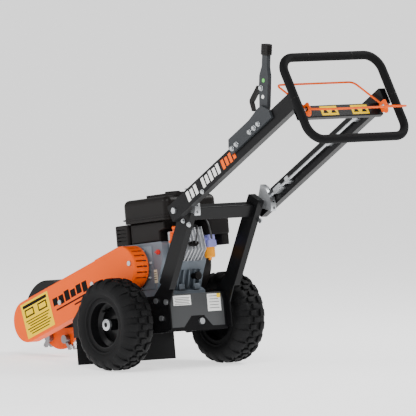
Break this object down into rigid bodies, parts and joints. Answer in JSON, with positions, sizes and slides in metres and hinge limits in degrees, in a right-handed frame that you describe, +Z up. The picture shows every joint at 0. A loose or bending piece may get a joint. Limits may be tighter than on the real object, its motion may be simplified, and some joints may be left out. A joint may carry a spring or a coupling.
{
  "type": "stump grinder",
  "caption": "Walk-behind stump grinder with a belt-driven toothed cutter disc, petrol engine, two knobby tyres and a folding adjustable handle with a padded loop.",
  "frame": {"origin": "on the ground under the middle of the machine's length and width", "axes": "+X the machine's left (belt side), +Y its rear where the operator stands, +Z up"},
  "size_m": [0.7866, 2.2962, 1.4587],
  "materials": {
    "orange_cover": "gloss",
    "black_frame": "satin",
    "grey_panel": "satin",
    "zinc": "satin",
    "tool_steel": "ground",
    "grey_casting": "cast",
    "bright_casting": "cast",
    "iron": "machined",
    "tyre_rubber": "matt",
    "grip_foam": "matt foam",
    "belt_rubber": "matt",
    "black_plastic": "moulded",
    "dark_gloss_plastic": "gloss",
    "lilac_casting": "cast",
    "amber_bowl": "gloss",
    "orange_plastic": "gloss",
    "orange_wire": "gloss",
    "red_plastic": "gloss"
  },
  "bodies": {
    "chassis": {"adjuster_straps": "zinc", "air_cleaner": "black_plastic", "axle": "zinc", "axle_spacers": "black_frame", "blower_housing": "dark_gloss_plastic", "boom": "black_frame", "carburettor": "lilac_casting", "chassis_bolts": "zinc", "control_panel": "orange_plastic", "crankcase": "grey_casting", "cutter_hood": "orange_cover", "cylinder": "bright_casting", "debris_flap": "belt_rubber", "drive_belt": "belt_rubber", "engine_deck": "black_frame", "engine_shroud": "dark_gloss_plastic", "flap_rail": "black_frame", "float_bowl": "amber_bowl", "fuel_tank": "black_plastic", "guard_back_plate": "orange_cover", "guard_front_cover": "orange_cover", "guard_rear_cover": "orange_cover", "left_side_plate": "black_frame", "left_upright": "black_frame", "muffler_cover": "black_frame", "pivot_bolts": "zinc", "rear_panel": "grey_panel", "right_side_plate": "black_frame", "right_upright": "black_frame", "shaft_bearings": "iron", "upright_crossbar": "black_frame"},
    "cutter": {"cutter_disc": "tool_steel", "cutter_shaft": "zinc", "cutter_teeth": "tool_steel", "driven_pulley": "iron", "tooth_holders": "tool_steel"},
    "crank": {"clutch_drum": "iron", "crankshaft": "zinc"},
    "left_wheel": {"left_rim": "black_frame", "left_tyre": "tyre_rubber"},
    "right_wheel": {"right_rim": "black_frame", "right_tyre": "tyre_rubber"},
    "handle": {"bail_pins": "zinc", "grip_loop": "grip_foam", "handle_crossbar": "black_frame", "left_handle_tube": "black_frame", "lever_bracket": "grey_panel", "pin_guides": "zinc", "right_handle_tube": "black_frame"},
    "release": {"lock_pins": "zinc", "release_bar": "zinc"},
    "bail": {"bail_hoops": "orange_wire"},
    "lever": {"control_lever": "grey_panel", "lever_grip": "black_plastic"},
    "trigger": {"lever_trigger": "black_plastic"},
    "cap": {"fuel_cap": "dark_gloss_plastic"},
    "choke": {"choke_lever": "orange_plastic"},
    "throttle": {"throttle_lever": "orange_plastic"},
    "starter": {"starter_grip": "black_plastic"},
    "switch": {"engine_switch": "red_plastic"}
  },
  "joints": [
    {"name": "cutter_spin", "type": "hinge", "parent": "chassis", "child": "cutter", "pos_m": [0, -0.96912, 0.16033], "axis": [1, 0, 0], "continuous": true},
    {"name": "crank_spin", "type": "hinge", "parent": "chassis", "child": "crank", "pos_m": [0, -0.28359, 0.43895], "axis": [1, 0, 0], "continuous": true},
    {"name": "left_wheel_spin", "type": "hinge", "parent": "chassis", "child": "left_wheel", "pos_m": [0, -0.2008, 0.203], "axis": [1, 0, 0], "continuous": true},
    {"name": "right_wheel_spin", "type": "hinge", "parent": "chassis", "child": "right_wheel", "pos_m": [0, -0.2008, 0.203], "axis": [1, 0, 0], "continuous": true},
    {"name": "handle_tilt", "type": "hinge", "parent": "chassis", "child": "handle", "pos_m": [0, 0.14779, 0.71606], "axis": [1, 0, 0], "range_deg": [-34, 34]},
    {"name": "lock_slide", "type": "slide", "parent": "handle", "child": "release", "axis": [0, -0.8425, -0.5388], "range_m": [0, 0.018]},
    {"name": "bail_squeeze", "type": "hinge", "parent": "handle", "child": "bail", "pos_m": [0, 0.98288, 1.18839], "axis": [1, 0, 0], "range_deg": [-20, 0], "stiffness_Nm_per_rad": 2, "springref_deg": 34.38},
    {"name": "lever_pull", "type": "hinge", "parent": "handle", "child": "lever", "pos_m": [0, 0.74623, 1.17237], "axis": [1, 0, 0], "range_deg": [0, 20]},
    {"name": "trigger_squeeze", "type": "hinge", "parent": "lever", "child": "trigger", "pos_m": [0, 0.71331, 1.27022], "axis": [1, 0, 0], "range_deg": [0, 12], "stiffness_Nm_per_rad": 0.6, "springref_deg": -28.65},
    {"name": "fuel_cap_turn", "type": "hinge", "parent": "chassis", "child": "cap", "pos_m": [-0.02, -0.2065, 0.6867], "axis": [0, -0.1357, 0.9907], "range_deg": [0, 90]},
    {"name": "choke_turn", "type": "hinge", "parent": "chassis", "child": "choke", "pos_m": [0, -0.07494, 0.59572], "axis": [1, 0, 0], "range_deg": [0, 20]},
    {"name": "throttle_turn", "type": "hinge", "parent": "chassis", "child": "throttle", "pos_m": [0, -0.08644, 0.56184], "axis": [1, 0, 0], "range_deg": [-15, 0]},
    {"name": "starter_pull", "type": "slide", "parent": "chassis", "child": "starter", "axis": [0, -0.1357, 0.9907], "range_m": [0, 0.25], "stiffness_N_per_m": 30, "springref_m": -0.1},
    {"name": "switch_turn", "type": "hinge", "parent": "chassis", "child": "switch", "pos_m": [0, -0.13848, 0.51434], "axis": [1, 0, 0], "range_deg": [0, 60]}
  ],
  "couplings": [
    {"joint": "crank_spin", "follows": "cutter_spin", "ratio": 1.3043}
  ]
}
